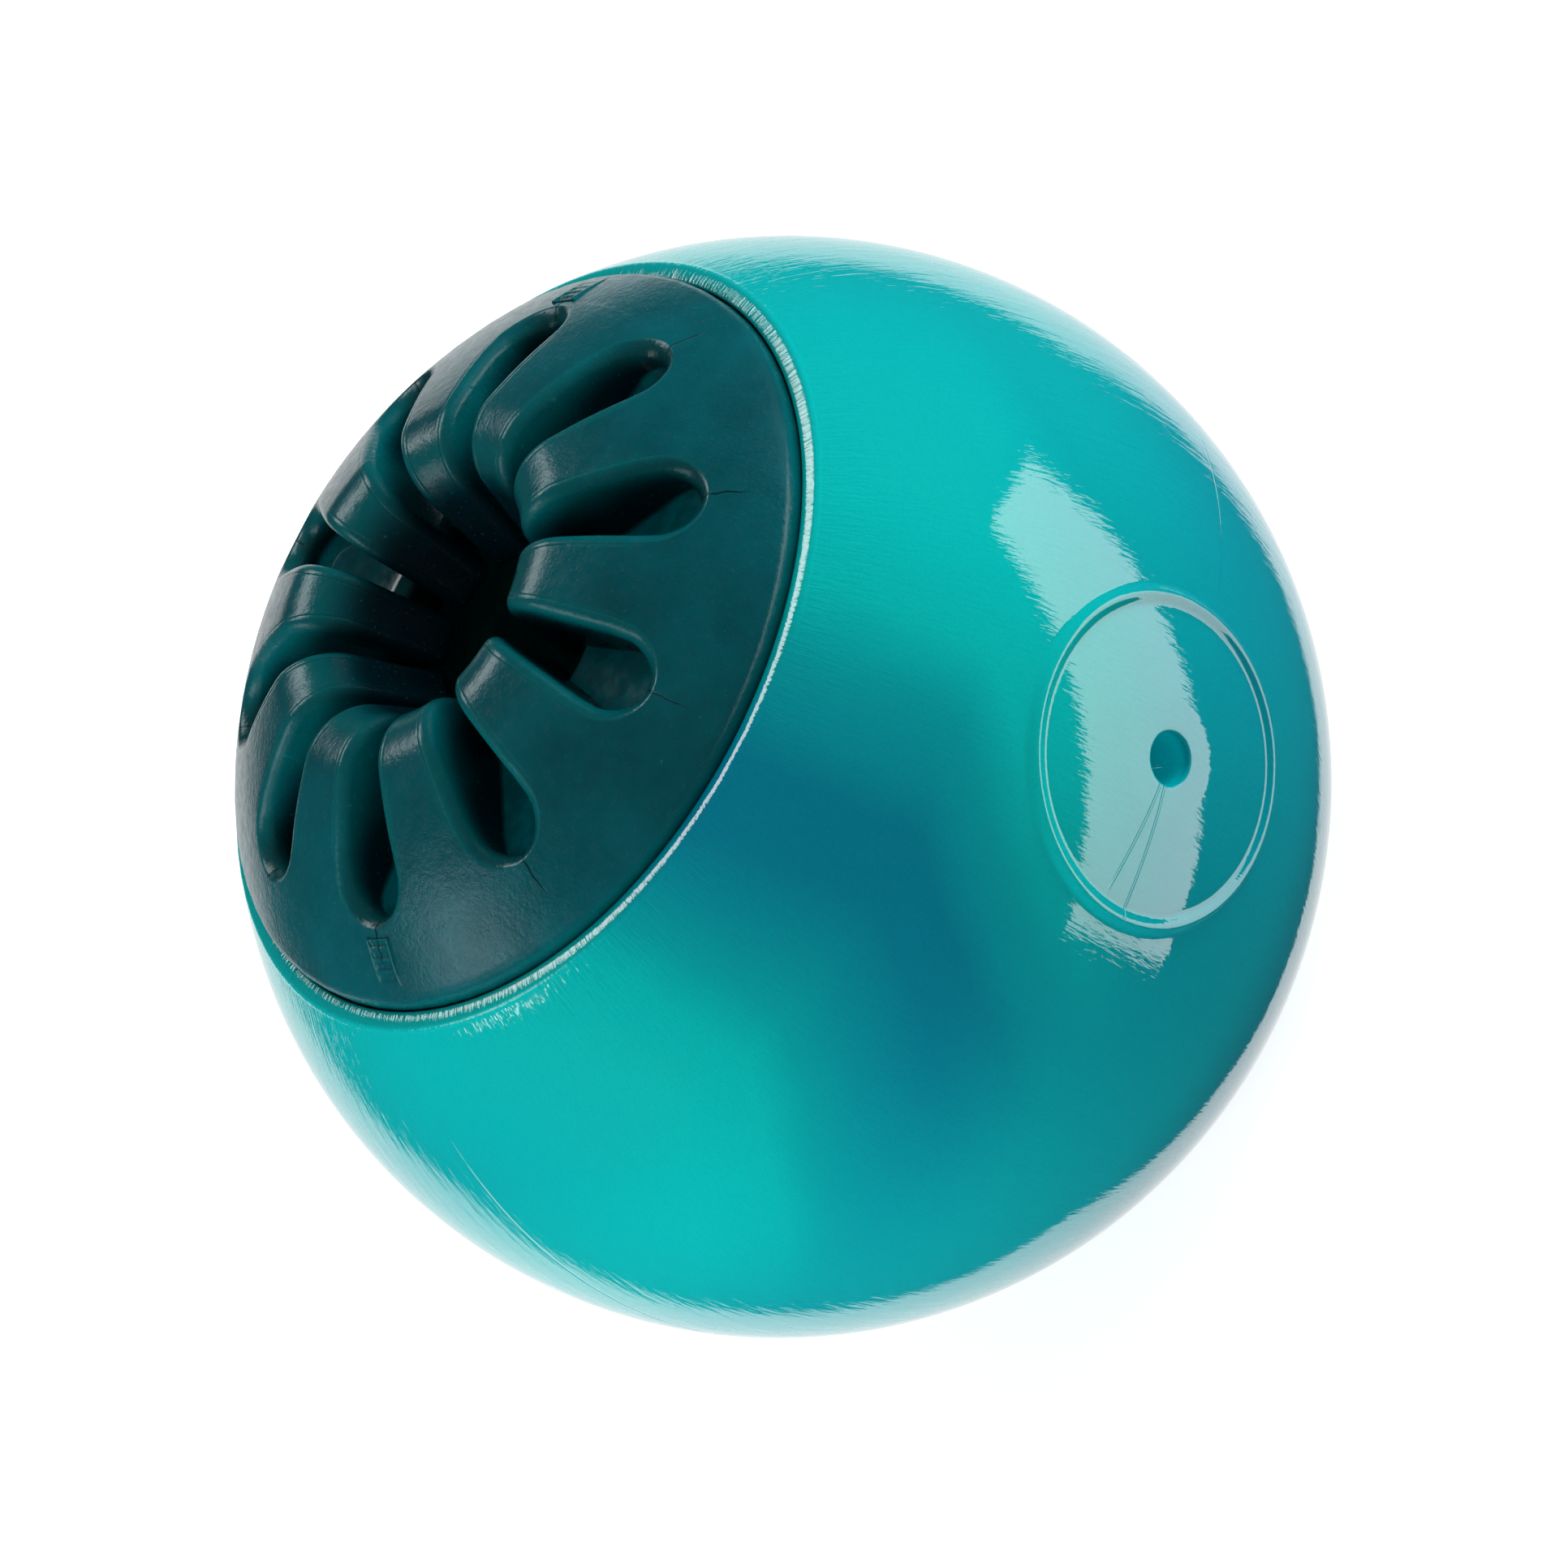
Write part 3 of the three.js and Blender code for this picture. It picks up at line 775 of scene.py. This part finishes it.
def finger_outline():
    """Side view of a finger from the seam over the tip and back: place, normal, edge rounding."""
    reaches = np.linspace(hinge_reach, seam_reach, 400)
    spans = np.hypot(reaches - hinge_reach, ball_height(reaches) - hinge_height)
    shoulder, shoulder_reach = spans.min(), reaches[spans.argmin()]
    start = math.atan2(ball_height(shoulder_reach) - hinge_height, shoulder_reach - hinge_reach)
    outline = []
    for reach in np.linspace(seam_reach, shoulder_reach, 7)[:-1]:
        outline.append((reach, ball_height(reach), *ball_normal(reach), 1))

    def arc(centre, radius, turns):
        for turn in turns:
            across, rise = math.cos(turn), math.sin(turn)
            spot = (centre[0] + radius * across, centre[1] + radius * rise)
            outline.append((*spot, across, rise, 1))

    arc((hinge_reach, hinge_height), shoulder, np.linspace(start, shoulder_end, 16))
    lean = math.tan(math.pi - shoulder_end)
    top = outline[-1]
    face_foot = tip_foot + tip_round * (1 + math.sin(shoulder_end))
    foot_reach = top[0] - (top[1] - face_foot) * lean
    for step in np.linspace(0, 1, 8)[1:-1]:
        reach = top[0] + (foot_reach - top[0]) * step
        outline.append((reach, top[1] + (face_foot - top[1]) * step, *top[2:]))
    front = foot_reach - tip_round * math.cos(shoulder_end)
    arc((front, tip_foot + tip_round), tip_round, np.linspace(shoulder_end, math.radians(270), 7))
    back = front + (tip_thickness - 2 * tip_round) / math.sin(shoulder_end - math.pi / 2)
    heel_turns = np.linspace(math.radians(270), math.radians(340), 5)
    arc((back, tip_foot + tip_round), tip_round, heel_turns)
    low = outline[-1]
    back_top = gate_floor - heel_step
    outline.append((low[0] + (back_top - low[1]) * lean, back_top, *low[2:]))
    outline.append((heel_reach, gate_floor + heel_step, 0, -1, 0))
    outline.append((sole_reach, gate_floor + root_gap, 0, -1, 0))
    outline.append((seam_reach, gate_floor + root_gap, 0, -1, 0))
    return np.array(outline)


def finger_mesh():
    reaches, heights, across, rise, rounding = finger_outline().T
    half = sector / 2 - slot_half
    crease = rounding[:, None] * rib_creases
    inward, downward = crease * across[:, None], crease * rise[:, None]
    flat = polar(reaches[:, None] - inward, half * rib_shares, heights[:, None] - downward)
    plan = np.column_stack([reaches * math.cos(half), reaches * math.sin(half)])
    into = np.tile((-math.sin(half), math.cos(half)), (len(plan), 1))
    side = rounded_edge(plan, into, heights, (across * rounding, rise * rounding))
    loops = np.concatenate([side[:, :0:-1] * (1, -1, 1), flat, side[:, 1:]], axis=1)
    skin = np.concatenate([loops, loops[:1]])
    return finished_mesh("finger", *join_patches([skin], [loops[:, 0], loops[:, -1]]))


for joint in frame["joints"]:
    pivot = Vector(joint["pos_m"])
    turn = math.atan2(pivot.y, pivot.x)
    label = joint["name"].removesuffix("_flex")
    shape = copied_round(label + "_skin", finger_mesh(), ring_tree, 1, turn, 0.0, gate_rubber)
    finger = new_piece(label + "_skin", shape, gate_rubber, None)
    root = Vector(polar(root_reach, turn, ball_height(root_reach)))
    free = Vector(polar(free_reach, turn, ball_height(free_reach)))
    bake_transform(finger)
    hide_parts("gate_" + label)


# The camera: a long lens at the photographer's place, looking across the open gate.
# The mouth's axis leans away from the line of sight, and the picture is rolled with it.
mouth_tilt = math.radians(52.8)
mouth_heading = math.radians(151.3)
first_rib = math.radians(183.3)
camera_distance = 630 * mm
camera_lens = 176.7
photo_width = 1932
shift_right, shift_up = 1.5, 3

mouth_right = math.sin(mouth_tilt) * math.cos(mouth_heading)
mouth_up = math.sin(mouth_tilt) * math.sin(mouth_heading)
mouth = Vector((mouth_right, mouth_up, math.cos(mouth_tilt)))
level = Vector((0, 0, 1)).cross(mouth).normalized()
rib = math.cos(first_rib) * level + math.sin(first_rib) * mouth.cross(level)
camera_turn = Matrix((rib, mouth.cross(rib), mouth))
lens = bpy.data.cameras.new("camera")
lens.lens = camera_lens
lens.shift_x = shift_right / photo_width
lens.shift_y = shift_up / photo_width
camera = bpy.data.objects.new("camera", lens)
bpy.context.scene.collection.objects.link(camera)
camera_place = Vector((0, 0, ball_middle)) + camera_turn @ Vector((0, 0, camera_distance))
camera.matrix_world = Matrix.Translation(camera_place) @ camera_turn.to_4x4()
bpy.context.scene.camera = camera
bpy.context.scene.view_settings.view_transform = "Standard"


# The studio: a white table top in a dim room, with a white sweep behind the toy.
# Two softboxes and the room light its colour, and the sweep, a strip light and three panels show
# only in its gloss. Places and directions are to the right, up and toward the camera.
floor_size, floor_glow = 3.0, 0.68
room_level, room_gloss = 0.28, 0.03
sweep_middle, sweep_half_width, sweep_half_height = -0.06, 0.59, 0.8
sweep_blur = 0.025


def stage_floor():
    mesh = bpy.data.meshes.new("floor")
    sides = ((-1, -1), (1, -1), (1, 1), (-1, 1))
    corners = [(x * floor_size, y * floor_size, 0) for x, y in sides]
    mesh.from_pydata(corners, [], [(0, 1, 2, 3)])
    material, tree, skin = new_material("White table")
    place = add_node(tree, "ShaderNodeTexCoord").outputs["Object"]
    tone = ramp_node(tree, noise_node(tree, place, 4, 2), [(0.3, (0.9,) * 3), (0.7, (0.92,) * 3)])
    tree.links.new(tone, skin.inputs["Base Color"])
    seen = add_node(tree, "ShaderNodeLightPath").outputs["Is Camera Ray"]
    tree.links.new(math_node(tree, "MULTIPLY", seen, floor_glow), skin.inputs["Emission Strength"])
    skin.inputs["Emission Color"].default_value = (1, 1, 1, 1)
    skin.inputs["Roughness"].default_value = 0.7
    skin.inputs["Specular IOR Level"].default_value = 0.1
    mesh.materials.append(material)
    floor = bpy.data.objects.new("floor", mesh)
    bpy.context.scene.collection.objects.link(floor)
    floor.visible_glossy = False


def room_light():
    world = bpy.data.worlds.new("Studio")
    bpy.context.scene.world = world
    world.use_nodes = True
    tree = world.node_tree
    path = add_node(tree, "ShaderNodeLightPath").outputs
    direction = add_node(tree, "ShaderNodeTexCoord").outputs["Generated"]
    right, up, back = [
        vector_node(tree, "DOT_PRODUCT", direction, tuple(camera_turn @ Vector(axis)))
        for axis in ((1, 0, 0), (0, 1, 0), (0, 0, -1))
    ]
    aside = math_node(tree, "ABSOLUTE", math_node(tree, "MULTIPLY_ADD", back, -sweep_middle, right))
    rise = math_node(tree, "ABSOLUTE", up)
    past_side = math_node(tree, "MULTIPLY_ADD", back, -sweep_half_width, aside)
    past_end = math_node(tree, "MULTIPLY_ADD", back, -sweep_half_height, rise)
    within = [range_node(tree, past, sweep_blur, -sweep_blur) for past in (past_side, past_end)]
    sweep = range_node(tree, math_node(tree, "MULTIPLY", *within), 0, 1, room_gloss, 1.0)
    seen = math_node(tree, "MAXIMUM", path["Is Camera Ray"], path["Is Transmission Ray"])
    plain = range_node(tree, seen, 0, 1, room_level, 1.0)
    gloss = path["Is Glossy Ray"]
    strength = add_node(tree, "ShaderNodeMix", {"Factor": gloss, "A": plain, "B": sweep}).outputs[0]
    tree.links.new(strength, tree.nodes["Background"].inputs["Strength"])
    tree.nodes["Background"].inputs["Color"].default_value = (1, 1, 1, 1)


def softbox(name, place, along, length, width, radiance, glossy, facing=None):
    """A rectangular lamp that either lights the toy's colour or shows in its gloss."""
    lamp = bpy.data.lights.new(name, "AREA")
    lamp.shape = "RECTANGLE"
    lamp.size, lamp.size_y = length, width
    lamp.energy = radiance * length * width * math.pi
    light = bpy.data.objects.new(name, lamp)
    away = (camera_turn @ Vector(facing or place)).normalized()
    side = away.cross(camera_turn @ Vector(along)).normalized()
    turn = Matrix((side.cross(away), side, away)).transposed().to_4x4()
    spot = Vector((0, 0, ball_middle)) + camera_turn @ Vector(place)
    light.matrix_world = Matrix.Translation(spot) @ turn
    light.visible_camera = False
    light.visible_diffuse = not glossy
    light.visible_glossy = glossy
    bpy.context.scene.collection.objects.link(light)


stage_floor()
room_light()
softbox("top softbox", (0.22, 0.75, 0.12), (1, 0, 0), 0.5, 0.5, 6.7, False)
softbox("left softbox", (-0.44, -0.64, 0.16), (1, 0, 0), 0.5, 0.5, 6.2, False)
softbox("strip light", (0.6, 0.255, 0.155), (0, 1, 0.04), 1.09, 0.348, 2.5, True, (1, 0, 0))
softbox("upper left panel", (-0.62, 0.38, 0.01), (0, 1, 0), 0.42, 0.25, 4.9, True)
softbox("low left panel", (-0.616, -0.294, 0.175), (0, 1, 0), 0.26, 0.26, 1.9, True)
softbox("low strip", (-0.555, -0.425, 0.2), (0.34, 0, 0.94), 0.13, 0.022, 6.0, True)
